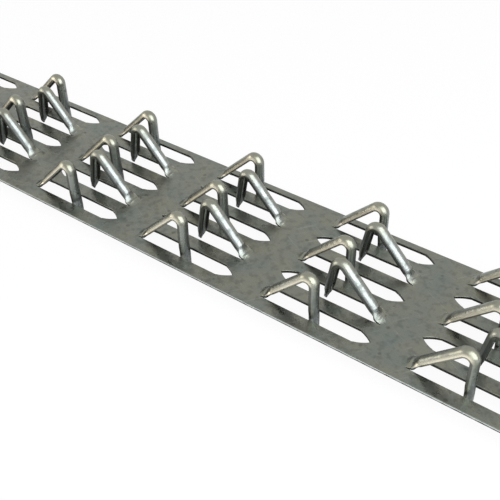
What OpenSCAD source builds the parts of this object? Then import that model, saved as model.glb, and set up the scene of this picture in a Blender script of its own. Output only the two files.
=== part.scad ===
// Truss nail plate: a strip of galvanised sheet with rows of teeth punched out of it.
// Every tooth is a tongue cut from its own slot. It bends up out of the root end of the
// slot, is rolled into a gutter for stiffness, and is folded back down through the slot.
// X runs along the strip, Y across it, Z up. The longer points stand on Z = 0.

/* [Strip] */
// Thickness of the sheet
sheet_t = 1; // [0.8:0.1:1.2]
// Number of tooth groups along the strip
groups = 6; // [1:1:6]
// Distance from one tooth group to the next
group_pitch = 50; // [46:0.5:70]
// Number of tooth rows across the strip
rows = 5; // [1:1:5]
// Distance from one tooth row to the next
row_pitch = 10.8; // [9:0.1:16]
// Plain sheet between the front edge and the first row of slots
front_rail = 5.1; // [2:0.1:12]
// Plain sheet between the back edge and the last row of slots
back_rail = 2.6; // [2:0.1:12]

/* [Slots] */
// Width of a slot, and of the tongue cut from it
slot_w = 5.8; // [5.4:0.1:6.6]
// Length of a slot from its root to its point
slot_l = 37.4; // [33:0.1:41]
// Distance from the middle of a group to the middle of a slot, towards its point
slot_shift = 0.6; // [0:0.05:2]
// Gap that the shear leaves on each side of a tongue
shear_gap = 0.1; // [0.05:0.01:0.2]
// Length of the pointed end of a slot, and of a tooth
nose_l = 4.8; // [3:0.1:6]
// Radius of the curved sides of the point
nose_r = 12; // [8:0.5:30]

/* [Teeth] */
// Width of the rolled part of a tooth
tooth_w = 4.2; // [3.6:0.1:5]
// Half of the angle that the rolled back of a tooth turns through
roll_angle = 84; // [50:1:90]
// Depth of the plain side walls beside the rolled back
wall_l = 0.5; // [0:0.1:1.2]
// Height of the fold above the strip
tooth_h = 15.2; // [10:0.1:18]
// Slope of the rising leg
rise_angle = 45.5; // [40:0.5:60]
// Outward lean of the folded leg from upright
lean_angle = 2.5; // [0:0.1:8]
// How much more the folded legs of every second row lean
lean_step = 5.5; // [0:0.1:8]
// Inside radius of the bend at the root
root_r = 2.2; // [1:0.1:4]
// Inside radius of the fold at the top
fold_r = 1.3; // [1:0.1:2]
// Length over which the flat tongue turns into the rolled section
neck_l = 3; // [2:0.1:6]
// Width left blunt at the very end of a tooth
point_w = 0.4; // [0.2:0.1:1]
// Reach of the longer points below the underside of the strip
point_drop = 5; // [0:0.1:6]
// How much shorter the folded legs of every second row are
row_step = 4; // [0:0.1:5]

/* [Hidden] */

strip_l = groups * group_pitch;
tongue_w = slot_w - 2 * shear_gap;
strip_w = front_rail + (rows - 1) * row_pitch + slot_w + back_rail;
// flat faces across a section, along the root bend, neck, top fold and point
across = 6;
root_steps = 2;
neck_steps = 2;
fold_steps = 4;
nose_steps = 3;
over = 1;

// Outer radius of a rolled back, and the height of its centre over the open edges
function back_r(half, roll, wall) = (half - wall * cos(roll)) / sin(roll);
function back_h(r, roll, wall) = wall * sin(roll) - (r - sheet_t) * cos(roll);
// depth of the rolled section, from its open edges to its crown
tooth_r = back_r(tooth_w / 2, roll_angle, wall_l);
tooth_d = tooth_r + back_h(tooth_r, roll_angle, wall_l);
// height of the fold's centre, and the two straight lengths that follow from it
fold_z = sheet_t + tooth_h - tooth_d - fold_r;
rise_l = (fold_z + fold_r * cos(rise_angle) - (root_r + sheet_t) * (1 - cos(rise_angle)))
    / sin(rise_angle);
function fall_l(drop, lean) =
    (fold_z + (fold_r + tooth_d - sheet_t) * sin(lean) + drop) / cos(lean);

// Half width of the ogive at a distance from its shoulder, for a half width at the shoulder
function ogive(half, at) =
    let (chord = norm([nose_l, half]),
         reach = sqrt(pow(nose_r, 2) - pow(chord / 2, 2)) / chord)
    half / 2 - reach * nose_l + sqrt(pow(nose_r, 2) - pow(at - nose_l / 2 + reach * half, 2));

// Station on the tongue's inner face: [x, z, slope, half width, roll, share kept]
function at_root(a) =
    [(root_r + sheet_t) * sin(a), (root_r + sheet_t) * (1 - cos(a)), a, tongue_w / 2, 0, 1];
function along(s, from, half, roll, keep) =
    [from[0] + s * cos(from[2]), from[1] + s * sin(from[2]), from[2], half, roll, keep];
function round_fold(a, from) =
    [from[0] + fold_r * (sin(from[2]) - sin(from[2] - a)),
     from[1] - fold_r * (cos(from[2]) - cos(from[2] - a)),
     from[2] - a, from[3], from[4], from[5]];
function smooth(u) = u * u * (3 - 2 * u);

bend_end = at_root(rise_angle);
fold_start = along(rise_l, bend_end, tooth_w / 2, roll_angle, 1);
function stations(drop, lean) = let (fold_end = round_fold(rise_angle + 90 - lean, fold_start)) [
    for (i = [0 : root_steps]) at_root(rise_angle * i / root_steps),
    for (i = [1 : neck_steps]) let (u = i / neck_steps)
        along(neck_l * u, bend_end, tongue_w / 2 + (tooth_w - tongue_w) / 2 * smooth(u),
            roll_angle * smooth(u), 1),
    for (i = [0 : fold_steps])
        round_fold((rise_angle + 90 - lean) * i / fold_steps, fold_start),
    for (i = [0 : nose_steps]) let (u = i / nose_steps)
        along(fall_l(drop, lean) - nose_l * (1 - u), fold_end, tooth_w / 2, roll_angle,
            max(ogive(tongue_w / 2, nose_l * u), point_w / 2) / (tongue_w / 2))
];

// One corner of a section: j counts the faces across it, out is 0 inside and 1 outside
function section_point(half, roll, keep, j, out) =
    roll < 1 ? [half * keep * (2 * j / across - 1), out * sheet_t] :
    let (wall = wall_l * roll / roll_angle,
         r = back_r(half, roll, wall),
         arc = r * roll * PI / 180,
         at = keep * (j == 0 ? -arc - wall : j == across ? arc + wall :
             arc * (2 * (j - 1) / (across - 2) - 1)),
         curved = max(-arc, min(arc, at)),
         past = at - curved,
         turn = curved / r * 180 / PI,
         q = r - sheet_t * (1 - out))
    [q * sin(turn) + past * cos(turn),
     q * cos(turn) - past * sin(turn) + back_h(r, roll, wall)];
function ring(s) = [
    for (k = [0 : 2 * across + 1])
        let (out = k <= across ? 1 : 0,
             j = out == 1 ? k : 2 * across + 1 - k,
             p = section_point(s[3], s[4], s[5], j, out))
        [s[0] - p[1] * sin(s[2]), p[0], s[1] + p[1] * cos(s[2])]
];

// One tooth, with its root on X = 0, its slot along +X and its point at a drop below the strip
module tooth(drop, lean) {
    path = stations(drop, lean);
    n = 2 * across + 2;
    last = (len(path) - 1) * n;
    polyhedron(
        points = [for (s = path) each ring(s)],
        faces = [
            for (j = [0 : across - 1])
                each [[j + 1, j, n - 1 - j], [j + 1, n - 1 - j, n - 2 - j]],
            for (i = [0 : len(path) - 2], k = [0 : n - 1])
                let (a = i * n + k, b = i * n + (k + 1) % n)
                each [[a, b + n, a + n], [a, b, b + n]],
            for (j = [0 : across - 1])
                each [[last + j, last + j + 1, last + n - 1 - j],
                      [last + j + 1, last + n - 2 - j, last + n - 1 - j]]
        ],
        convexity = 6);
}

// Slot from its root on X = 0 to its point
module slot_outline() {
    straight = slot_l - nose_l;
    chord = norm([nose_l, slot_w / 2]);
    reach = sqrt(pow(nose_r, 2) - pow(chord / 2, 2)) / chord;
    centre = [nose_l / 2 - reach * slot_w / 2, slot_w / 4 - reach * nose_l];
    // The arcs start over their centres, where they are wider than the slot, so they cut its sides cleanly
    translate([0, -slot_w / 2]) square([straight + centre[0], slot_w]);
    translate([straight, 0]) intersection() {
        translate(centre) circle(nose_r, $fn = 96);
        translate([centre[0], -centre[1]]) circle(nose_r, $fn = 96);
        translate([1.5 * centre[0], -slot_w / 2])
            square([nose_l - 1.5 * centre[0] + over, slot_w]);
    }
}

// Places its children at the root of every slot of every second row from a first one, with
// alternate rows turned end for end
module at_roots(first) {
    for (g = [0 : groups - 1], r = [first : 2 : rows - 1])
        translate([(g + 0.5) * group_pitch - strip_l / 2,
            front_rail + slot_w / 2 + r * row_pitch - strip_w / 2, 0])
            mirror([r % 2, 0, 0])
                translate([slot_shift - slot_l / 2, 0, 0]) children();
}

module nail_plate() {
    color("silver") translate([0, 0, point_drop]) {
        difference() {
            translate([-strip_l / 2, -strip_w / 2, 0]) cube([strip_l, strip_w, sheet_t]);
            for (first = [0, 1]) at_roots(first)
                translate([0, 0, -over]) linear_extrude(sheet_t + 2 * over) slot_outline();
        }
        for (first = [0, 1]) at_roots(first)
            tooth(point_drop - first * row_step, lean_angle + first * lean_step);
    }
}

nail_plate();
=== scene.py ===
"""Truss nail plate: a punched strip of zinc-coated steel with thirty rolled and folded teeth.

The strip is one sheet. Its upper face is worked out as grids of points, the plate round the slots
and the tongue that rises from each slot, and is then given its thickness and its sheared edges.
Lengths are in metres. X runs along the strip, Y across it and Z up, and the longer
points of the teeth stand on Z = 0.
"""

import logging
import math
from dataclasses import dataclass, field
from enum import Enum
from typing import Any

import bpy
import numpy as np
from mathutils import Matrix, Vector


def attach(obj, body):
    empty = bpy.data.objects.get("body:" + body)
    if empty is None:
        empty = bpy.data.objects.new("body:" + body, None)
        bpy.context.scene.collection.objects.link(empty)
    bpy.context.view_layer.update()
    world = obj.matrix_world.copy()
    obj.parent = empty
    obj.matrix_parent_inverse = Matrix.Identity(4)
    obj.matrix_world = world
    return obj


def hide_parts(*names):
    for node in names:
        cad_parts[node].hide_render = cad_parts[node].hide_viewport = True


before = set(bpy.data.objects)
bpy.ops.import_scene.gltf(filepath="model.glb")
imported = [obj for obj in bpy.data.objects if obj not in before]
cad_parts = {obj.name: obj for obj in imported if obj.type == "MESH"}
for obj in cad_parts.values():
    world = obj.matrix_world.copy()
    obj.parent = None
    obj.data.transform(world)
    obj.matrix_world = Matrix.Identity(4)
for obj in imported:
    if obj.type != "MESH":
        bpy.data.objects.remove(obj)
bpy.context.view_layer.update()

log = logging.getLogger("nail_plate")

Array = np.ndarray
Colour = tuple[float, float, float, float]
Socket = bpy.types.NodeSocket

MM = 0.001
SAME_PLACE = 1e-7  # points nearer than this are one point
NO_LENGTH = 1e-12  # a vector is divided by no less than this
FLAT_ROLL = 1e-3  # a section that turns through less than this is flat
MITRE_LIMIT = 0.6  # keeps the mitre of a sharp corner short
NODE = "nail_plate"
BODY = "root"


class Turn(Enum):
    """Which end of its slot a tooth grows from."""

    LOW_END = 1
    HIGH_END = -1


class Face(Enum):
    """Material slots of the strip."""

    COATED = 0
    SHEARED = 1


class Mark(Enum):
    """What each point of the sheet tells the finishes, as columns of an array."""

    BEND = 0  # 1 where the sheet is folded hardest
    SIDE = 1  # 0 along the middle of a tooth and 1 along its two edges
    RUBBED = 2  # 1 where a cut edge shows its bright bare steel, 0 where it is painted dark as shade
    SHEEN_SIDE = 3  # 1 on the side of a tooth whose shoulder gets a painted highlight and whose wall a narrower painted shade; that side is also tinted olive
    DRAWN = 4  # 1 where the sheet is drawn out into a tooth, 0 on the plate


# ---- Shared tools and sheet geometry ----


def direction(bearing: float, height: float) -> Vector:
    """Unit vector at a bearing round Z, from +X towards +Y, and a height, both in degrees."""
    b, h = math.radians(bearing), math.radians(height)
    return Vector((math.cos(b) * math.cos(h), math.sin(b) * math.cos(h), math.sin(h)))


def placed(name: str, data: bpy.types.ID) -> bpy.types.Object:
    """A new object in the scene that holds the given data."""
    made = bpy.data.objects.new(name, data)
    bpy.context.scene.collection.objects.link(made)
    return made


def unit(vectors: Array) -> Array:
    """Vectors divided by their own lengths."""
    return vectors / np.maximum(np.linalg.norm(vectors, axis=-1, keepdims=True), NO_LENGTH)


def smooth(u: Array) -> Array:
    """Eases from 0 to 1: u * u * (3 - 2 * u), with u held to that range."""
    u = np.clip(u, 0.0, 1.0)
    return u * u * (3 - 2 * u)


def grid_quads(rows: int, columns: int) -> Array:
    """Corner numbers of the cells of a grid whose points are numbered row by row.

    Args:
        rows: Points along the first parameter.
        columns: Points along the second parameter.

    Returns:
        An array of shape (rows - 1, columns - 1, 4), each cell anticlockwise when the first
        parameter runs to the right and the second runs up.
    """
    number = np.arange(rows * columns).reshape(rows, columns)
    return np.stack(
        [number[:-1, :-1], number[1:, :-1], number[1:, 1:], number[:-1, 1:]], axis=-1
    )


@dataclass
class Surface:
    """Points of a sheet's upper face, with what each one carries, and the cells between them."""

    points: Array
    normals: Array
    blank: Array  # place on the flat sheet before bending
    marks: Array  # one column for each Mark
    quads: Array

    def carried(self) -> tuple[Array, ...]:
        """All that each point carries."""
        return self.points, self.normals, self.blank, self.marks

    @staticmethod
    def joined(parts: "list[Surface]") -> "Surface":
        """One surface from several, with each part's cells renumbered to follow the last."""
        starts = np.cumsum([0] + [len(p.points) for p in parts[:-1]])
        carried = (np.concatenate(kind) for kind in zip(*(p.carried() for p in parts)))
        return Surface(*carried, np.concatenate([p.quads + s for p, s in zip(parts, starts)]))

    def welded(self) -> "Surface":
        """The same surface with points that share a place made one, and unused points dropped."""
        used = np.zeros(len(self.points), bool)
        used[self.quads] = True
        kept = np.flatnonzero(used)
        key = np.round(self.points[kept] / SAME_PLACE).astype(np.int64)
        _, first, which = np.unique(key, axis=0, return_index=True, return_inverse=True)
        number = np.zeros(len(self.points), np.int64)
        number[kept] = which.ravel()
        source = kept[first]
        return Surface(*(kind[source] for kind in self.carried()), number[self.quads])

    def cells(self) -> tuple[Array, Array]:
        """Splits the cells into true quads and those that closed up into triangles.

        Returns:
            Quads of shape (q, 4) and triangles of shape (t, 3). A cell with two pairs of shared
            corners has no area and is left out.
        """
        shut = self.quads == np.roll(self.quads, -1, axis=1)
        count = shut.sum(axis=1)
        whole = self.quads[count == 0]
        folded = self.quads[count == 1]
        start = np.argmax(shut[count == 1], axis=1)[:, None] + 1
        turned = np.take_along_axis(folded, (start + np.arange(3)) % 4, axis=1)
        return whole, turned


def rim_edges(quads: Array, triangles: Array, points: int) -> Array:
    """Edges that one cell alone uses, in the direction in which that cell runs round."""
    runs = [
        np.stack([cells, np.roll(cells, -1, axis=1)], axis=-1).reshape(-1, 2)
        for cells in (quads, triangles)
    ]
    edges = np.concatenate(runs)
    forward = edges[:, 0] * points + edges[:, 1]
    back = edges[:, 1] * points + edges[:, 0]
    return edges[~np.isin(forward, back)]


@dataclass(frozen=True)
class ShearedEdge:
    """Outline of a cut edge, from the rolled-over upper corner down to the burr."""

    die_roll: float = 0.16 * MM
    burr: float = 0.05 * MM
    corner_steps: int = 2

    def profile(self, thickness: float) -> tuple[Array, Array, Array, Array]:
        """The edge's outline.

        The upper corner is a quarter turn of radius die_roll:
        (reach, depth) = (-r * (1 - sin a), -r * (1 - cos a)). The lower corner is a quarter turn
        of radius burr that ends on the lower face.

        Args:
            thickness: The sheet's thickness.

        Returns:
            Reach outwards and depth of each ring, the angle of its normal from the upper face,
            and for each band between rings whether it is cut metal.
        """
        a = np.linspace(0, math.pi / 2, self.corner_steps + 1)
        b = np.linspace(0, math.pi / 2, 2)
        reach = np.concatenate([-self.die_roll * (1 - np.sin(a)), -self.burr * (1 - np.cos(b))])
        depth = np.concatenate(
            [-self.die_roll * (1 - np.cos(a)), -thickness + self.burr * (1 - np.sin(b))]
        )
        angle = np.concatenate([a, math.pi / 2 + b])
        cut = np.arange(len(reach) - 1) >= self.corner_steps
        return reach, depth, angle, cut


@dataclass
class SolidSheet:
    """A closed mesh made from a surface by giving it its thickness and its edges."""

    surface: Surface
    thickness: float
    edge: ShearedEdge

    def outward(self, edges: Array) -> tuple[Array, Array]:
        """Direction at each rim point that lies in the sheet and leads out of it.

        For an edge of direction d on a face of normal n it is d x n. At a point the mean of its
        two edges' directions is lengthened to a mitre: (e1 + e2) / (1 + e1 . e2).

        Args:
            edges: Rim edges, each rim point starting one and ending one.

        Returns:
            The rim points' numbers and their outward directions.
        """
        s = self.surface
        along = unit(s.points[edges[:, 1]] - s.points[edges[:, 0]])
        face = unit(s.normals[edges[:, 0]] + s.normals[edges[:, 1]])
        side = unit(np.cross(along, face))
        leaving = np.argsort(edges[:, 0], kind="stable")
        coming = np.argsort(edges[:, 1], kind="stable")
        one, two = side[coming], side[leaving]
        spread = 1 + np.sum(one * two, axis=1, keepdims=True)
        return edges[leaving, 0], (one + two) / np.maximum(spread, MITRE_LIMIT)

    def built(self) -> "MeshData":
        """Lower face, rim bands and upper face as one closed mesh.

        A rim point at ring k lies at p + out * reach_k + n * depth_k. The upper face's own rim
        points are ring 0 and the lower face's are the last ring.
        """
        s = self.surface
        total = len(s.points)
        quads, triangles = s.cells()
        edges = rim_edges(quads, triangles, total)
        rim, out = self.outward(edges)
        reach, depth, angle, cut = self.edge.profile(self.thickness)
        rings = (
            s.points[rim]
            + out * reach[:, None, None]
            + s.normals[rim] * depth[:, None, None]
        )
        ring_normals = unit(
            unit(out) * np.sin(angle)[:, None, None]
            + s.normals[rim] * np.cos(angle)[:, None, None]
        )
        upper = s.points.copy()
        upper[rim] = rings[0]
        lower = s.points - s.normals * self.thickness
        lower[rim] = rings[-1]
        between = rings[1:-1].reshape(-1, 3)

        count, last = len(rim), len(reach) - 1
        place = np.zeros(total, np.int64)
        place[rim] = np.arange(count)
        ring_number = np.stack(
            [rim]
            + [2 * total + (k - 1) * count + np.arange(count) for k in range(1, last)]
            + [total + rim]
        )
        a, b = place[edges[:, 0]], place[edges[:, 1]]
        bands = np.stack(
            [ring_number[:-1, b], ring_number[:-1, a], ring_number[1:, a], ring_number[1:, b]],
            axis=-1,
        )
        flat = np.zeros(total)
        sunk = np.full(total, -self.thickness)
        depth_of = np.concatenate([flat, sunk, np.repeat(depth[1:-1], count)])
        source = np.concatenate([np.arange(total)] * 2 + [rim] * (last - 1))
        blank = np.column_stack([s.blank[source], depth_of])
        return MeshData(
            points=np.concatenate([upper, lower, between]),
            normals=np.concatenate([s.normals, -s.normals, ring_normals[1:-1].reshape(-1, 3)]),
            blank=blank,
            marks=s.marks[source],
            triangles=np.concatenate([triangles, triangles[:, ::-1] + total]),
            quads=np.concatenate([quads, quads[:, ::-1] + total, bands.reshape(-1, 4)]),
            sheared=np.concatenate([np.zeros(2 * len(quads), bool), np.repeat(cut, len(edges))]),
        )


@dataclass
class MeshData:
    """A closed mesh as arrays, ready to hand to Blender."""

    points: Array
    normals: Array
    blank: Array
    marks: Array
    triangles: Array
    quads: Array
    sheared: Array  # for each quad, whether it is cut metal

    def is_closed(self) -> bool:
        """Whether every edge is run along once each way."""
        return len(rim_edges(self.quads, self.triangles, len(self.points))) == 0

    def face_count(self) -> int:
        """The number of triangles that the mesh comes to."""
        return len(self.triangles) + 2 * len(self.quads)

    def to_object(self, name: str) -> bpy.types.Object:
        """Makes a Blender object whose place is in its mesh.

        Args:
            name: The object's name.

        Returns:
            The object, smooth shaded, with the attributes that the materials read.
        """
        mesh = bpy.data.meshes.new(name)
        mesh.vertices.add(len(self.points))
        mesh.vertices.foreach_set("co", self.points.ravel())
        corners = np.concatenate([self.triangles.ravel(), self.quads.ravel()])
        mesh.loops.add(len(corners))
        mesh.loops.foreach_set("vertex_index", corners)
        starts = np.concatenate(
            [
                np.arange(len(self.triangles)) * 3,
                len(self.triangles) * 3 + np.arange(len(self.quads)) * 4,
            ]
        )
        mesh.polygons.add(len(starts))
        mesh.polygons.foreach_set("loop_start", starts)
        slot = np.where(self.sheared, Face.SHEARED.value, Face.COATED.value)
        coated = np.full(len(self.triangles), Face.COATED.value)
        mesh.polygons.foreach_set("material_index", np.concatenate([coated, slot]))
        mesh.polygons.foreach_set("use_smooth", np.ones(len(starts), bool))
        mesh.update(calc_edges=True)
        blank = mesh.attributes.new("blank", "FLOAT_VECTOR", "POINT")
        blank.data.foreach_set("vector", self.blank.ravel())
        for mark in Mark:
            values = mesh.attributes.new(mark.name.lower(), "FLOAT", "POINT")
            values.data.foreach_set("value", np.ascontiguousarray(self.marks[:, mark.value]))
        mesh.normals_split_custom_set_from_vertices(self.normals)
        return placed(name, mesh)


# ---- The strip ----


@dataclass(frozen=True)
class Slot:
    """The opening that one tooth is sheared from, measured from its root line."""

    width: float = 5.8 * MM
    length: float = 37.4 * MM
    shift: float = 0.6 * MM
    nose: float = 4.8 * MM
    nose_radius: float = 12 * MM
    gap: float = 0.1 * MM

    @property
    def tongue(self) -> float:
        """Width of the tongue that the slot leaves."""
        return self.width - 2 * self.gap

    def ogive(self, half: float, at: Array) -> Array:
        """Half width of a pointed end.

        Each side is an arc of nose_radius from (0, half) to (nose, 0):
        y = yc + sqrt(r * r - (x - xc) ** 2).

        Args:
            half: Half width at the shoulder.
            at: Distance from the shoulder.

        Returns:
            The half width at each distance, never below 0.
        """
        chord = math.hypot(self.nose, half)
        reach = math.sqrt(self.nose_radius**2 - (chord / 2) ** 2) / chord
        from_centre = at - self.nose / 2 + reach * half
        height = np.sqrt(np.maximum(self.nose_radius**2 - from_centre**2, 0.0))
        return np.maximum(half / 2 - reach * self.nose + height, 0.0)

    def opening(self, along: Array) -> Array:
        """Half width of the slot at a distance from its root: 0 on the plate at both ends."""
        into_nose = np.clip(along - (self.length - self.nose), 0.0, self.nose)
        inside = (along > SAME_PLACE) & (along < self.length - SAME_PLACE)
        return np.where(inside, self.ogive(self.width / 2, into_nose), 0.0)


@dataclass(frozen=True)
class RootSwell:
    """The low swelling that a rolled tongue pulls up round its root when it is bent out."""

    height: float = 1.0 * MM
    past_root: float = 0.9 * MM
    onto_plate: float = 1.4 * MM
    up_tongue: float = 4.0 * MM
    half_width: float = 3.6 * MM

    def at(self, along: Array, across: Array) -> tuple[Array, Array, Array]:
        """How far the sheet is lifted off its plain form.

        Its top stands past_root up the tongue. With
        q = 1 - ((along - past_root) / reach) ** 2 - (across / half_width) ** 2, held above 0, the
        lift is height * q * q, so that it runs out smoothly all round.

        Args:
            along: Distance past the root line, up the tongue.
            across: Distance from the middle of the tongue.

        Returns:
            The lift and its slopes along and across.
        """
        along = along - self.past_root
        reach = np.where(along < 0, self.onto_plate + self.past_root, self.up_tongue)
        q = np.maximum(1 - (along / reach) ** 2 - (across / self.half_width) ** 2, 0.0)
        steep = -4 * self.height * q
        return self.height * q**2, steep * along / reach**2, steep * across / self.half_width**2


@dataclass(frozen=True)
class Tooth:
    """A tongue rolled into an open half tube, raised at its root and folded down over its slot."""

    width: float = 4.2 * MM
    roll: float = math.radians(84)
    wall: float = 0.5 * MM
    height: float = 15.2 * MM
    rise: float = math.radians(45.5)
    lean: float = math.radians(2.5)
    lean_step: float = math.radians(5.5)
    root_radius: float = 2.2 * MM
    fold_radius: float = 1.3 * MM
    neck: float = 3 * MM
    point: float = 0.4 * MM
    drop: float = 5 * MM
    row_step: float = 4 * MM
    swell: RootSwell = field(default_factory=RootSwell)
    fold_wear: float = 4.0 * MM
    # how far the side with the painted highlight fades past the fold, and how softly it blends
    # across the tooth
    fall_sheen_lost: float = 0.85
    sheen_side_blend: float = 0.25
    root_steps: int = 5
    neck_steps: int = 6
    rise_steps: int = 7
    fold_steps: int = 12
    fall_steps: int = 6
    nose_steps: int = 7

    def back(self, half: Array, roll: Array, wall: Array, sheet: float) -> tuple[Array, Array]:
        """Size of the rolled back that gives a section its width.

        Radius R = (half - wall * cos(roll)) / sin(roll), and the height of its centre over the
        open edges is wall * sin(roll) - (R - sheet) * cos(roll).

        Args:
            half: Half width of the section.
            roll: Half of the angle that the back turns through.
            wall: Depth of the plain walls beside the back.
            sheet: The sheet's thickness.

        Returns:
            The radius and the height of the centre.
        """
        radius = (half - wall * np.cos(roll)) / np.sin(roll)
        return radius, wall * np.sin(roll) - (radius - sheet) * np.cos(roll)

    def path(self, sheet: float, slot: Slot, step: int) -> dict[str, Array]:
        """The line that the tongue's lower face follows, with the section it has at each station.

        Root bend: an arc of root_radius + sheet. Rising leg: straight at the rise angle, with the
        width and the roll easing in over the neck. Fold: an arc of fold_radius back over the slot.
        Falling leg: straight, leaning outwards, with an ogive point.

        Args:
            sheet: The sheet's thickness.
            slot: The slot that the tongue is sheared from.
            step: 0 for the longer teeth and 1 for those of every second row.

        Returns:
            Arrays of x, z, slope, half (half width), roll, wall, keep (share of the section kept
            at the point), length (distance along the tongue), bend, formed (1 where the section
            is fully rolled), rubbed (1 where the cut edge stays bright, 0 where it is painted
            dark as shade) and sheen_side (1 on the side that takes the painted highlight).
        """
        full, tongue = self.width / 2, slot.tongue / 2
        drop, lean = self.drop - step * self.row_step, self.lean + step * self.lean_step
        sweep = self.rise + math.pi / 2 - lean
        depth = float(sum(self.back(full, self.roll, self.wall, sheet)))
        top = sheet + self.height - depth - self.fold_radius
        root_arc = self.root_radius + sheet
        rising = (
            top + self.fold_radius * math.cos(self.rise) - root_arc * (1 - math.cos(self.rise))
        ) / math.sin(self.rise)
        falling = (
            top + (self.fold_radius + depth - sheet) * math.sin(lean) + drop
        ) / math.cos(lean)

        def onward(stretch: list[Array], s: Array) -> list[Array]:
            """Stations at distances s straight on from the end of a stretch."""
            x, z, slope, length = (q[-1] for q in stretch)
            ahead = [x + s * math.cos(slope), z + s * math.sin(slope)]
            return ahead + [np.full_like(s, slope), length + s]

        a = self.rise * np.linspace(0, 1, self.root_steps + 1)
        root = [root_arc * np.sin(a), root_arc * (1 - np.cos(a)), a, root_arc * a]

        s = np.concatenate(
            [
                np.linspace(0, self.neck, self.neck_steps + 1)[1:],
                np.linspace(self.neck, rising, self.rise_steps + 1)[1:-1],
            ]
        )
        leg = onward(root, s)

        a = sweep * np.linspace(0, 1, self.fold_steps + 1)
        fold = [
            root[0][-1]
            + rising * math.cos(self.rise)
            + self.fold_radius * (math.sin(self.rise) - np.sin(self.rise - a)),
            root[1][-1]
            + rising * math.sin(self.rise)
            - self.fold_radius * (math.cos(self.rise) - np.cos(self.rise - a)),
            self.rise - a,
            root[3][-1] + rising + (self.fold_radius + depth / 2) * a,
        ]

        s = np.concatenate(
            [
                np.linspace(0, falling - slot.nose, self.fall_steps + 1)[1:],
                falling - slot.nose * np.linspace(1, 0, self.nose_steps + 1)[1:],
            ]
        )
        fall = onward(fold, s)

        x, z, slope, length = (np.concatenate(q) for q in zip(root, leg, fold, fall))
        eased = smooth((length - root[3][-1]) / self.neck)
        into_nose = np.clip(length - length[-1] + slot.nose, 0.0, slot.nose)
        kept = np.maximum(slot.ogive(tongue, into_nose), self.point / 2) / tongue
        middle = root[3][-1] + rising + (self.fold_radius + depth / 2) * sweep / 2
        return {
            "x": x,
            "z": z,
            "slope": slope,
            "half": tongue + (full - tongue) * eased,
            "roll": self.roll * eased,
            "wall": self.wall * eased,
            "keep": kept,
            "length": length,
            "bend": np.exp(-(((length - middle) / self.fold_wear) ** 2)),
            "formed": smooth(length / (root[3][-1] + self.neck)),
            # the tongue's cut edges keep bright steel at the root and are painted dark as shade
            # past the neck
            "rubbed": 1 - smooth((length - root[3][-1]) / self.neck),
            # the side with the painted highlight, its wall shade and its olive tint mostly fade
            # out past the fold
            "sheen_side": 1 - self.fall_sheen_lost * smooth((length - middle) / self.neck),
        }

    def surface(
        self, sheet: float, slot: Slot, across: int, step: int
    ) -> tuple[Array, Array, Array, Array]:
        """Upper face of one tongue, as a function of the station along it and of v across it.

        With v from -1 to 1 and t = v * (R * roll + wall), the section turns by
        a = t / R, held to the roll, and p = t - R * a is what lies in a wall:
        y = R * sin(a) + p * cos(a) and h = R * cos(a) - p * sin(a) + height of the centre. It is
        carried along the path square to its slope: (x - h * sin(slope), y, z + h * cos(slope)).

        Args:
            sheet: The sheet's thickness.
            slot: The slot that the tongue is sheared from.
            across: Cells across the tongue.
            step: 0 for the longer teeth and 1 for those of every second row.

        Returns:
            Points (stations, across + 1, 3) with the root line on X = 0 and the strip's lower
            face on Z = 0, their normals, their places on the flat tongue and their marks.
        """
        p = {k: v[:, None] for k, v in self.path(sheet, slot, step).items()}
        v = np.linspace(-1, 1, across + 1)[None, :] * p["keep"]
        roll = np.maximum(p["roll"], FLAT_ROLL)
        radius, centre = self.back(p["half"], roll, p["wall"], sheet)
        place = v * (radius * roll + p["wall"])
        turn = np.clip(place / radius, -roll, roll)
        past = place - radius * turn
        rolled = p["roll"] > FLAT_ROLL
        y = np.where(rolled, radius * np.sin(turn) + past * np.cos(turn), p["half"] * v)
        h = np.where(rolled, radius * np.cos(turn) - past * np.sin(turn) + centre, sheet)
        flat = np.stack([p["length"] + 0 * v, v * slot.tongue / 2], axis=-1)
        lift, climb, tilt = self.swell.at(flat[..., 0], flat[..., 1])
        h = h + lift
        points = np.stack(
            [p["x"] - h * np.sin(p["slope"]), y, p["z"] + h * np.cos(p["slope"])], axis=-1
        )
        normals = unit(np.cross(np.gradient(points, axis=0), np.gradient(points, axis=1)))
        normals[0] = unit(np.stack([-climb[0], -tilt[0], np.ones_like(tilt[0])], axis=-1))
        marks = np.stack(
            [
                p["bend"] + 0 * v,
                np.abs(v) * p["formed"],
                p["rubbed"] + 0 * v,
                p["sheen_side"] * smooth(0.5 - v / self.sheen_side_blend),
                p["formed"] + 0 * v,
            ],
            axis=-1,
        )
        return points, normals, flat, marks


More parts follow.
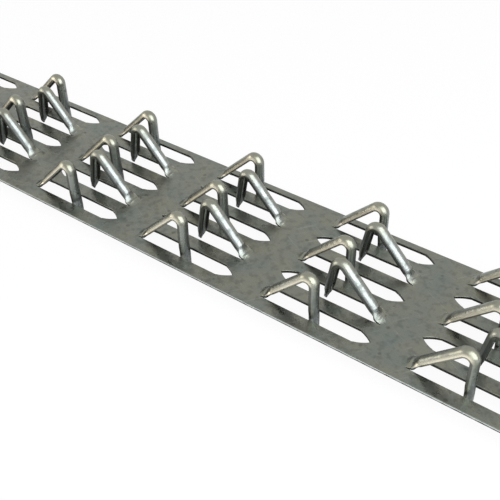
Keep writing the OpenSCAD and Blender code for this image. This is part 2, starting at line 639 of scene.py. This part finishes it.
@dataclass
class NailPlate:
    """The whole strip: a plate with five rows of slots in six groups, and a tooth at each slot."""

    sheet: float = 1 * MM
    groups: int = 6
    pitch: float = 50 * MM
    rows: int = 5
    row_pitch: float = 10.8 * MM
    front_rail: float = 5.1 * MM
    back_rail: float = 2.6 * MM
    slot: Slot = field(default_factory=Slot)
    tooth: Tooth = field(default_factory=Tooth)
    edge: ShearedEdge = field(default_factory=ShearedEdge)
    across: int = 10
    nose_cells: int = 8
    straight_cells: int = 12
    margin_cells: int = 8
    web_cells: int = 4
    rail_cells: int = 4
    high_end_scale: float = 1.03
    low_end_scale: float = 0.985
    lean_spread: float = 0.008
    seed: int = 12

    @property
    def top(self) -> float:
        """Height of the plate's upper face."""
        return self.tooth.drop + self.sheet

    @property
    def width(self) -> float:
        """Width of the strip."""
        return (
            self.front_rail + (self.rows - 1) * self.row_pitch + self.slot.width + self.back_rail
        )

    def group_centres(self) -> Array:
        """X of the middle of each group."""
        return (np.arange(self.groups) + 0.5 - self.groups / 2) * self.pitch

    def row_centres(self) -> Array:
        """Y of the middle of each row of slots."""
        first = self.front_rail + self.slot.width / 2 - self.width / 2
        return first + np.arange(self.rows) * self.row_pitch

    def turns(self) -> Array:
        """For each row, 1 where its teeth grow from the low-X end and -1 where from the other."""
        low_end = np.arange(self.rows) % 2 == 0
        return np.where(low_end, Turn.LOW_END.value, Turn.HIGH_END.value)

    def past_root(self, x: Array, row: Array) -> Array:
        """Distance of each X past the nearest root line, up the tongue, for each row given."""
        centres = self.group_centres()
        nearest = centres[np.argmin(np.abs(x[:, None] - centres), axis=1)]
        along = (x - nearest)[:, None] * self.turns()[row]
        return along - self.slot.shift + self.slot.length / 2

    def lines_along(self) -> Array:
        """X of the grid lines: close along the slots' noses and shared by both turns."""
        root = self.slot.shift - self.slot.length / 2
        tip = root + self.slot.length
        nose = tip - self.slot.nose * np.linspace(0, 1, self.nose_cells + 1)
        margin = np.linspace(tip, self.pitch / 2, self.margin_cells + 1)
        one_side = np.concatenate([nose, margin, [-root]])
        straight = np.linspace(-nose[-1], nose[-1], self.straight_cells + 1)
        cell = np.concatenate([one_side, -one_side, straight])
        lines = (self.group_centres()[:, None] + cell).ravel()
        return np.unique(np.round(lines, 9))

    def lines_across(self) -> tuple[Array, Array, Array]:
        """The grid lines that run along the strip.

        Each slot's centre is two lines, one for each half, so that the slot can open between them.

        Returns:
            For each line its row, its offset from the row's centre and the side it is on.
        """
        half = self.slot.width / 2
        tongue = np.linspace(0, self.slot.tongue / 2, self.across // 2 + 1)
        side = np.append(tongue, half)
        web = np.linspace(half, self.row_pitch - half, self.web_cells + 1)[1:-1]
        front = -np.linspace(half + self.front_rail, half, self.rail_cells + 1)[:-1]
        back = np.linspace(half, half + self.back_rail, self.rail_cells // 2 + 1)[1:]
        row, offset, sides = [], [], []
        for number in range(self.rows):
            lower = np.append(front if number == 0 else [], -side[::-1])
            upper = np.append(side, back if number == self.rows - 1 else web)
            offset += [lower, upper]
            sides += [np.full(len(lower), -1.0), np.full(len(upper), 1.0)]
            row.append(np.full(len(lower) + len(upper), number))
        return np.concatenate(row), np.concatenate(offset), np.concatenate(sides)

    def plate(self) -> Surface:
        """The plate round the slots.

        Between a slot's centre and its side a line at share q of the half width w lies at
        o + (w - o) * q, where o is the slot's opening at that X, so the lines bend round the nose
        and lie straight beyond it. Cells in the straight part of a slot are left out.
        """
        x = self.lines_along()
        row, offset, side = self.lines_across()
        half = self.slot.width / 2
        centres, turns = self.row_centres(), self.turns()
        past_root = self.past_root(x, row)
        opening = self.slot.opening(past_root)
        inner = np.abs(offset) <= half + SAME_PLACE
        bent = side * (opening + (half - opening) * np.abs(offset) / half)
        y = centres[row] + np.where(inner, bent, offset)
        points = np.stack([x[:, None] + 0 * y, y, np.full_like(y, self.top)], axis=-1)

        here = self.past_root((x[1:] + x[:-1]) / 2, row[:-1])
        in_row = (row[:-1] == row[1:]) & inner[:-1] & inner[1:]
        straight = (here > 0) & (here < self.slot.length - self.slot.nose)
        split = in_row & (side[:-1] < 0) & (side[1:] > 0)
        keep = ~(in_row & straight) & ~split
        quads = grid_quads(len(x), len(row))[keep]
        flat = points.reshape(-1, 3)
        lift, climb, tilt = self.tooth.swell.at(past_root, y - centres[row])
        normals = unit(np.stack([-climb * turns[row], -tilt, np.ones_like(y)], axis=-1))
        marks = np.zeros((len(flat), len(Mark)))
        rim = np.abs(np.abs(flat[:, :2]) - (self.groups * self.pitch / 2, self.width / 2))
        # the slit outer edges keep bright steel; the slot walls get 0 and are painted dark as
        # shade
        marks[:, Mark.RUBBED.value] = np.min(rim, axis=1) < SAME_PLACE
        lifted = flat + np.stack([0 * lift, 0 * lift, lift], axis=-1).reshape(-1, 3)
        return Surface(lifted, normals.reshape(-1, 3), flat[:, :2], marks, quads)

    def teeth(self) -> Surface:
        """All the teeth's upper faces, one array for the whole strip.

        A tooth's points are scaled about its root line, sheared a little sideways by its height,
        turned end for end where its row says so, and moved to its slot.
        """
        kinds = [self.tooth.surface(self.sheet, self.slot, self.across, step) for step in (0, 1)]
        count = self.groups * self.rows
        group = np.repeat(np.arange(self.groups), self.rows)
        row = np.tile(np.arange(self.rows), self.groups)
        points, normals, flat, marks = (np.stack(kind)[row % 2] for kind in zip(*kinds))
        turn = self.turns()[row][:, None, None]
        # the side with the painted highlight is swapped for the teeth of the other turn
        sheen_side = marks[..., Mark.SHEEN_SIDE.value]
        marks[..., Mark.SHEEN_SIDE.value] = np.where(
            turn == Turn.LOW_END.value, sheen_side, sheen_side[..., ::-1]
        )
        scale = np.where(turn == Turn.HIGH_END.value, self.high_end_scale, self.low_end_scale)
        rng = np.random.default_rng(self.seed)
        tilt = rng.normal(0, self.lean_spread, (count, 1, 1))
        push = rng.normal(0, self.lean_spread, (count, 1, 1))

        above = np.maximum(points[..., 2] - self.sheet, 0.0)
        above[:, 0] = 0.0
        x = points[..., 0] * (1 + (scale - 1) * smooth(above / self.tooth.neck)) + push * above
        y = points[..., 1] + tilt * above
        z = points[..., 2] + (scale - 1) * above + self.tooth.drop
        root = self.slot.shift - self.slot.length / 2
        centre = self.group_centres()[group][:, None, None]
        line = self.row_centres()[row][:, None, None]
        placed = np.stack([centre + turn * (x + root), line + y, z], axis=-1)
        facing = normals * np.stack([turn, 1 + 0 * turn, 1 + 0 * turn], axis=-1)
        blank = np.stack(
            [centre + turn * (flat[..., 0] + root), line + flat[..., 1]], axis=-1
        )
        cells = grid_quads(points.shape[1], points.shape[2]).reshape(-1, 4)
        starts = np.arange(count)[:, None, None] * points.shape[1] * points.shape[2]
        quads = np.where(turn == Turn.HIGH_END.value, cells[:, ::-1], cells) + starts
        return Surface(
            placed.reshape(-1, 3),
            facing.reshape(-1, 3),
            blank.reshape(-1, 2),
            marks.reshape(-1, len(Mark)),
            quads.reshape(-1, 4),
        )

    def build(self) -> bpy.types.Object:
        """Builds the strip as one closed piece."""
        whole = Surface.joined([self.plate(), self.teeth()]).welded()
        data = SolidSheet(whole, self.sheet, self.edge).built()
        log.info("strip: %d triangles, closed: %s", data.face_count(), data.is_closed())
        return data.to_object("toothed_strip")

    def dress(self, piece: bpy.types.Object, coat: "ZincCoat", cut: "ShearedSteel") -> None:
        """Puts the coated and the sheared finish on the strip and ties it to its body."""
        piece.data.materials.append(coat.material())
        piece.data.materials.append(cut.material())
        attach(piece, BODY)
        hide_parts(NODE)


# ---- Finishes ----


class Bench:
    """A node tree with short ways to add nodes and join them."""

    def __init__(self, tree: bpy.types.NodeTree) -> None:
        """Takes the tree that the nodes go into."""
        self.tree = tree

    @staticmethod
    def material(name: str) -> "tuple[bpy.types.Material, Bench, bpy.types.Node]":
        """Starts a material, and returns it with its bench and its Principled shader."""
        made = bpy.data.materials.new(name)
        made.use_nodes = True
        return made, Bench(made.node_tree), made.node_tree.nodes["Principled BSDF"]

    def add(
        self, kind: str, feeds: dict[Any, Any] | None = None, **settings: Any
    ) -> bpy.types.Node:
        """Adds a node.

        Args:
            kind: The node's type without its ShaderNode prefix.
            feeds: For each input, by name or number, a socket to link or a value to set.
            settings: Properties of the node.

        Returns:
            The node.
        """
        node = self.tree.nodes.new("ShaderNode" + kind)
        for name, value in settings.items():
            setattr(node, name, value)
        for name, value in (feeds or {}).items():
            self.feed(node.inputs[name], value)
        return node

    def feed(self, target: Socket, value: Any) -> None:
        """Links a socket to an input, or sets the input to a value."""
        if isinstance(value, Socket):
            self.tree.links.new(value, target)
        else:
            target.default_value = value

    def place(self) -> Socket:
        """The place on the flat sheet, which every pattern lies on."""
        return self.add("Attribute", attribute_name="blank").outputs["Vector"]

    def mark(self, mark: Mark) -> Socket:
        """One of the sheet's marks."""
        return self.add("Attribute", attribute_name=mark.name.lower()).outputs["Fac"]

    def group(self, tree: bpy.types.NodeTree, *values: Any) -> Socket:
        """Places a group, feeds its inputs in their order and returns what it gives."""
        return self.add("Group", dict(enumerate(values)), node_tree=tree).outputs[0]

    def noise(self, place: Socket, size: Socket, detail: float, roughness: float) -> Socket:
        """Layered noise with patches of a given size."""
        scale = self.math("DIVIDE", 1.0, size)
        feeds = {"Vector": place, "Scale": scale, "Detail": detail, "Roughness": roughness}
        return self.add("TexNoise", feeds).outputs[0]

    def blend(self, share: Any, a: Any, b: Any) -> Socket:
        """Colour a turned towards colour b by a share."""
        return self.add("Mix", {0: share, 6: a, 7: b}, data_type="RGBA").outputs[2]

    def tint(self, colour: Socket, by: Any, share: float, towards: Colour) -> Socket:
        """Colour turned towards another by a mask times a share."""
        return self.blend(self.math("MULTIPLY", by, share), colour, towards)

    def math(self, operation: str, *values: Any) -> Socket:
        """The result of a Math node."""
        return self.add("Math", dict(enumerate(values)), operation=operation).outputs[0]

    def span(
        self, value: Any, low: float, high: float, to_low: float = 0.0, to_high: float = 1.0
    ) -> Socket:
        """Carries a value from one range to another, held to its ends."""
        feeds = {0: value, 1: low, 2: high, 3: to_low, 4: to_high}
        return self.add("MapRange", feeds).outputs[0]


def new_group(
    name: str, inputs: dict[str, float], output: str
) -> tuple[Bench, Any, Socket]:
    """Starts a shader node group that takes a place and some numbers, and gives one number.

    Args:
        name: The group's name.
        inputs: The default of each number that it takes.
        output: The name of what it gives.

    Returns:
        The group's bench, its inputs by name, and the socket to feed with what it gives.
    """
    tree = bpy.data.node_groups.new(name, "ShaderNodeTree")
    number = "NodeSocketFloat"
    tree.interface.new_socket(name="Place", in_out="INPUT", socket_type="NodeSocketVector")
    for label, default in inputs.items():
        socket = tree.interface.new_socket(name=label, in_out="INPUT", socket_type=number)
        socket.default_value = default
    tree.interface.new_socket(name=output, in_out="OUTPUT", socket_type=number)
    given = tree.nodes.new("NodeGroupInput").outputs
    return Bench(tree), given, tree.nodes.new("NodeGroupOutput").inputs[output]


class Effects:
    """Shader groups for the finishes, each built once."""

    noise_gain = 4.0  # layered noise keeps within about an eighth of its middle
    speck_edge = 0.12  # softness of a speck's rim, as a share of the spacing
    speck_rarity = 0.72  # share of the cells that hold no speck
    crest = (0.64, 0.72)  # heights of the noise between which a scratch fades in

    def __init__(self) -> None:
        """Builds the groups."""
        self.cloud = self.make_cloud()
        self.specks = self.make_specks()
        self.scratches = self.make_scratches()

    def make_cloud(self) -> bpy.types.NodeTree:
        """Soft patches: layered noise of a given patch size, spread over 0 to 1."""
        inputs = {"Size": 10 * MM, "Contrast": 0.5}
        bench, given, out = new_group("soft patches", inputs, "Patch")
        noise = bench.noise(given["Place"], given["Size"], detail=4.0, roughness=0.6)
        centred = bench.math("SUBTRACT", noise, 0.5)
        full = bench.math("MULTIPLY", centred, self.noise_gain)
        spread = bench.math("MULTIPLY_ADD", full, given["Contrast"], 0.5)
        bench.feed(out, bench.span(spread, 0.0, 1.0))
        return bench.tree

    def make_specks(self) -> bpy.types.NodeTree:
        """Small spots: the cores of a cell pattern, kept in the few cells that chance picks."""
        inputs = {"Spacing": 2 * MM, "Radius": 0.2}
        bench, given, out = new_group("small specks", inputs, "Speck")
        scale = bench.math("DIVIDE", 1.0, given["Spacing"])
        cells = bench.add("TexVoronoi", {"Vector": given["Place"], "Scale": scale})
        core = bench.math("SUBTRACT", given["Radius"], cells.outputs["Distance"])
        edge = bench.span(core, 0.0, self.speck_edge)
        chance = bench.add("SeparateColor", {0: cells.outputs["Color"]}).outputs[0]
        rare = bench.math("GREATER_THAN", chance, self.speck_rarity)
        bench.feed(out, bench.math("MULTIPLY", edge, rare))
        return bench.tree

    def make_scratches(self) -> bpy.types.NodeTree:
        """Fine lines: crests of noise drawn out along a turned direction."""
        inputs = {"Angle": 0.0, "Spacing": 1 * MM, "Stretch": 20.0}
        bench, given, out = new_group("fine scratches", inputs, "Line")
        turned = bench.add(
            "VectorRotate",
            {"Vector": given["Place"], "Angle": given["Angle"]},
            rotation_type="Z_AXIS",
        )
        drawn = bench.math("DIVIDE", 1.0, given["Stretch"])
        squash = bench.add("CombineXYZ", {0: drawn, 1: 1.0, 2: 1.0})
        place = bench.add(
            "VectorMath", {0: turned.outputs[0], 1: squash.outputs[0]}, operation="MULTIPLY"
        )
        noise = bench.noise(place.outputs[0], given["Spacing"], detail=2.0, roughness=0.5)
        bench.feed(out, bench.span(noise, *self.crest))
        return bench.tree


@dataclass(frozen=True)
class ZincCoat:
    """Dull hot-dip zinc: soft patches of cool and warm grey, smudges and scratches.

    The forming die leaves the folds olive. A highlight is painted along the shoulder on one side
    of each tooth, that side is also tinted olive, and painted shade darkens the plain walls under
    the shoulders. Each share is how far that effect turns the colour.
    """

    effects: Effects
    cool: Colour = (0.165, 0.186, 0.170, 1.0)
    warm: Colour = (0.215, 0.212, 0.170, 1.0)
    dark: Colour = (0.060, 0.064, 0.055, 1.0)
    scratched: Colour = (0.36, 0.37, 0.33, 1.0)
    stretched: Colour = (0.262, 0.280, 0.285, 1.0)
    olive: Colour = (0.26, 0.255, 0.19, 1.0)
    # painted highlight colour along the shoulders
    rubbed: Colour = (0.76, 0.69, 0.55, 1.0)
    drawn_share: float = 0.75
    # olive tint on the side that takes the painted highlight
    sheen_side_olive_share: float = 0.5
    stain_share: float = 0.3
    speck_share: float = 0.5
    scratch_share: float = 0.2
    fold_share: float = 0.6
    # share of the painted highlight on the shoulders
    shoulder_highlight_share: float = 0.85
    # share of the painted shade on the walls
    wall_shade_share: float = 0.75
    patch: tuple[float, float] = (13 * MM, 0.7)  # size and contrast
    stain: tuple[float, float] = (2.6 * MM, 1.0)
    speck: tuple[float, float] = (3.2 * MM, 0.26)  # spacing and radius
    fine: tuple[float, float, float] = (0.5, 0.9 * MM, 18.0)  # angle, spacing and stretch
    cross: tuple[float, float, float] = (2.2, 1.3 * MM, 14.0)
    shoulder: tuple[float, float] = (0.52, 0.78)  # where the painted highlight band fades in, by side
    wall: tuple[float, float] = (0.66, 0.83)  # where the painted wall shade starts, on the plain side and on the sheen side
    wall_shade_edge: float = 0.06
    highlight_matte: float = 0.4  # how far the metal shine is taken away under the painted highlight
    roughness: tuple[float, float] = (0.38, 0.26)  # in the stains and clear of them
    relief: tuple[float, float] = (0.5, -0.3)  # of the patches and of the scratches
    bump: tuple[float, float] = (0.25, 0.15 * MM)  # strength and depth

    def material(self) -> bpy.types.Material:
        """Builds the coated finish.

        Returns:
            A metal whose patterns lie on the flat sheet, so that they follow every bend.
        """
        made, bench, shader = Bench.material("zinc coat")
        place, side, sheen_side = bench.place(), bench.mark(Mark.SIDE), bench.mark(Mark.SHEEN_SIDE)
        patch = bench.group(self.effects.cloud, place, *self.patch)
        stain = bench.group(self.effects.cloud, place, *self.stain)
        speck = bench.group(self.effects.specks, place, *self.speck)
        fine = bench.group(self.effects.scratches, place, *self.fine)
        cross = bench.group(self.effects.scratches, place, *self.cross)
        lines = bench.math("MAXIMUM", fine, cross)
        colour = bench.blend(patch, self.cool, self.warm)
        colour = bench.tint(colour, bench.mark(Mark.DRAWN), self.drawn_share, self.stretched)
        # olive tint on the side that takes the painted highlight
        colour = bench.tint(colour, sheen_side, self.sheen_side_olive_share, self.olive)
        dull = bench.span(stain, 0.0, 0.5, self.stain_share, 0.0)
        colour = bench.blend(dull, colour, self.dark)
        colour = bench.tint(colour, speck, self.speck_share, self.dark)
        colour = bench.tint(colour, lines, self.scratch_share, self.scratched)
        colour = bench.tint(colour, bench.mark(Mark.BEND), self.fold_share, self.olive)
        # painted highlight: a bright band on the shoulder of the sheen side
        band = bench.span(side, *self.shoulder)
        shoulder = bench.math("MULTIPLY", band, sheen_side)
        # painted shade: the plain walls beyond the shoulder darkened, narrower on the sheen side
        start = bench.span(sheen_side, 0.0, 0.5, *self.wall)
        wall = bench.span(bench.math("SUBTRACT", side, start), 0.0, self.wall_shade_edge)
        colour = bench.tint(colour, shoulder, self.shoulder_highlight_share, self.rubbed)
        colour = bench.tint(colour, wall, self.wall_shade_share, self.dark)
        bench.feed(shader.inputs["Base Color"], colour)
        # less metal under the painted highlight, so that it shows bright from every side
        highlight_metal = bench.math("MULTIPLY_ADD", shoulder, -self.highlight_matte, 1.0)
        bench.feed(shader.inputs["Metallic"], bench.math("MAXIMUM", highlight_metal, wall))
        rough = bench.span(stain, 0.0, 1.0, *self.roughness)
        bench.feed(shader.inputs["Roughness"], rough)
        height = bench.math("MULTIPLY_ADD", patch, self.relief[0], stain)
        grooves = bench.math("MULTIPLY_ADD", lines, self.relief[1], height)
        strength, depth = self.bump
        bump = bench.add("Bump", {"Strength": strength, "Distance": depth, "Height": grooves})
        bench.feed(shader.inputs["Normal"], bump.outputs[0])
        return made


@dataclass(frozen=True)
class ShearedSteel:
    """Cut metal: a burnished band under the upper face, and a dark torn band below it.

    The slit edges of the strip and the roots of the tongues show bright bare steel, while the
    walls of the punched slots and the tongues' edges past the neck are painted dark as shade.
    Depths are shares of the thickness.
    """

    effects: Effects
    thickness: float
    burnished: Colour = (0.52, 0.54, 0.53, 1.0)
    # painted shade: the dark colour of the slot walls and of the tongues' edges past the neck
    punched: Colour = (0.060, 0.058, 0.048, 1.0)
    torn: Colour = (0.035, 0.034, 0.030, 1.0)
    burnish_depth: float = 0.5
    ragged_depth: float = 0.2
    edge_depth: float = 0.15
    patch: tuple[float, float] = (2.5 * MM, 1.0)  # size and contrast
    speck: tuple[float, float] = (0.8 * MM, 0.3)  # spacing and radius
    speck_share: float = 0.4
    roughness: tuple[float, float] = (0.32, 0.6)  # of the burnished and of the torn band

    def material(self) -> bpy.types.Material:
        """Builds the finish of the cut edges from the depth below the upper face."""
        made, bench, shader = Bench.material("sheared steel")
        shader.inputs["Metallic"].default_value = 1.0
        place = bench.place()
        depth = bench.add("SeparateXYZ", {0: place}).outputs[2]
        patch = bench.group(self.effects.cloud, place, *self.patch)
        speck = bench.group(self.effects.specks, place, *self.speck)
        ragged = bench.math("MULTIPLY_ADD", patch, self.ragged_depth * self.thickness, depth)
        line, edge = -self.burnish_depth * self.thickness, self.edge_depth * self.thickness
        tear = bench.span(ragged, line - edge, line + edge, 1.0, 0.0)
        # painted shade: edges marked 0 take the dark punched colour, those marked 1 burnished
        # steel
        colour = bench.blend(bench.mark(Mark.RUBBED), self.punched, self.burnished)
        colour = bench.blend(tear, colour, self.torn)
        colour = bench.tint(colour, speck, self.speck_share, self.torn)
        bench.feed(shader.inputs["Base Color"], colour)
        bench.feed(shader.inputs["Roughness"], bench.span(tear, 0.0, 1.0, *self.roughness))
        return made


# ---- Studio ----


@dataclass(frozen=True)
class Softbox:
    """A square area lamp aimed at the middle of the part.

    Its direction is the bearing round Z, from +X towards +Y, and the height above the floor.
    """

    name: str
    bearing: float
    height: float
    distance: float
    size: float
    radiance: float
    colour: tuple[float, float, float]

    def hang(self, aim: Vector) -> None:
        """Makes the lamp, with power = pi * area * radiance."""
        data = bpy.data.lights.new(self.name, "AREA")
        data.shape = "SQUARE"
        data.size = self.size
        data.energy = math.pi * self.size**2 * self.radiance
        data.color = self.colour
        lamp = placed(self.name, data)
        away = direction(self.bearing, self.height)
        lamp.location = aim + away * self.distance
        lamp.rotation_euler = away.to_track_quat("Z", "Y").to_euler()


@dataclass
class Studio:
    """White floor and surroundings, softboxes and the camera."""

    floor_half: float = 1.5
    floor_glow: float = 0.94
    floor_glow_reflected: float = 0.05
    floor_colour: Colour = (0.8, 0.8, 0.8, 1.0)
    world_fill: float = 0.5
    aim: tuple[float, float, float] = (41.54 * MM, -6.98 * MM, 6.0 * MM)
    view_bearing: float = -54.893
    view_height: float = 39.680
    view_distance: float = 260.48 * MM
    view_roll: float = -0.752
    lens: float = 56.588
    clip: tuple[float, float] = (0.01, 10.0)
    softboxes: tuple[Softbox, ...] = (
        Softbox(
            "key softbox", bearing=-27.0, height=39.0, distance=0.6,
            size=0.7, radiance=3.7, colour=(0.93, 0.99, 1.0),
        ),
        Softbox(
            "warm softbox", bearing=-150.0, height=14.0, distance=0.6,
            size=0.34, radiance=3.0, colour=(1.0, 0.93, 0.82),
        ),
    )

    @staticmethod
    def shown(bench: Bench, direct: float, reflected: float) -> Socket:
        """How far a surface shows as background.

        Args:
            bench: The tree that the nodes go into.
            direct: What the camera sees.
            reflected: What metal and glass show.

        Returns:
            A socket with one of the two, or 0 for light on the part.
        """
        path = bench.add("LightPath").outputs
        mirrored = bench.math("MAXIMUM", path["Is Glossy Ray"], path["Is Transmission Ray"])
        share = bench.math("MULTIPLY", mirrored, reflected)
        return bench.math("MULTIPLY_ADD", path["Is Camera Ray"], direct, share)

    def floor(self) -> None:
        """A flat white floor at Z = 0 that glows to the camera and keeps part of the shadow."""
        half = self.floor_half
        sides = np.array([-half, half])
        corners = np.stack(np.meshgrid(sides, sides, indexing="ij"), axis=-1).reshape(-1, 2)
        mesh = bpy.data.meshes.new("floor")
        mesh.from_pydata(np.column_stack([corners, np.zeros(4)]).tolist(), [], [(0, 2, 3, 1)])
        made, bench, unused = Bench.material("white floor")
        made.node_tree.nodes.remove(unused)
        plain = bench.add("BsdfDiffuse", {"Color": self.floor_colour})
        glow = bench.add("Emission", {"Strength": 1.0})
        share = self.shown(bench, self.floor_glow, self.floor_glow_reflected)
        mix = bench.add("MixShader", {0: share, 1: plain.outputs[0], 2: glow.outputs[0]})
        output = made.node_tree.nodes["Material Output"]
        bench.feed(output.inputs["Surface"], mix.outputs[0])
        mesh.materials.append(made)
        floor = placed("floor", mesh)

    def world(self) -> None:
        """White to the camera and in reflections, softer as light on the floor."""
        world = bpy.data.worlds.new("studio")
        world.use_nodes = True
        bench = Bench(world.node_tree)
        strength = bench.span(self.shown(bench, 1.0, 1.0), 0.0, 1.0, self.world_fill, 1.0)
        back = world.node_tree.nodes["Background"]
        back.inputs["Color"].default_value = (1.0, 1.0, 1.0, 1.0)
        bench.feed(back.inputs["Strength"], strength)
        bpy.context.scene.world = world

    def camera(self) -> None:
        """The camera, placed by its bearing, height and distance from where it aims."""
        data = bpy.data.cameras.new("camera")
        data.lens = self.lens
        data.clip_start, data.clip_end = self.clip
        camera = placed("camera", data)
        back = direction(self.view_bearing, self.view_height)
        camera.location = Vector(self.aim) + back * self.view_distance
        turn = back.to_track_quat("Z", "Y").to_matrix()
        spin = turn @ Matrix.Rotation(-math.radians(self.view_roll), 3, "Z")
        camera.rotation_euler = spin.to_euler()
        bpy.context.scene.camera = camera

    def set_up(self) -> None:
        """Builds the whole studio."""
        self.floor()
        self.world()
        for softbox in self.softboxes:
            softbox.hang(Vector((0.0, 0.0, 0.0)))
        self.camera()
        bpy.context.scene.view_settings.view_transform = "Standard"


def main() -> None:
    """Builds the strip and the studio."""
    logging.basicConfig(level=logging.INFO, format="%(name)s: %(message)s")
    effects = Effects()
    plate = NailPlate()
    strip = plate.build()
    plate.dress(strip, ZincCoat(effects), ShearedSteel(effects, plate.sheet))
    log.info("built %s", strip.name)
    Studio().set_up()
    log.info("studio set up")


if __name__ == "__main__":
    main()
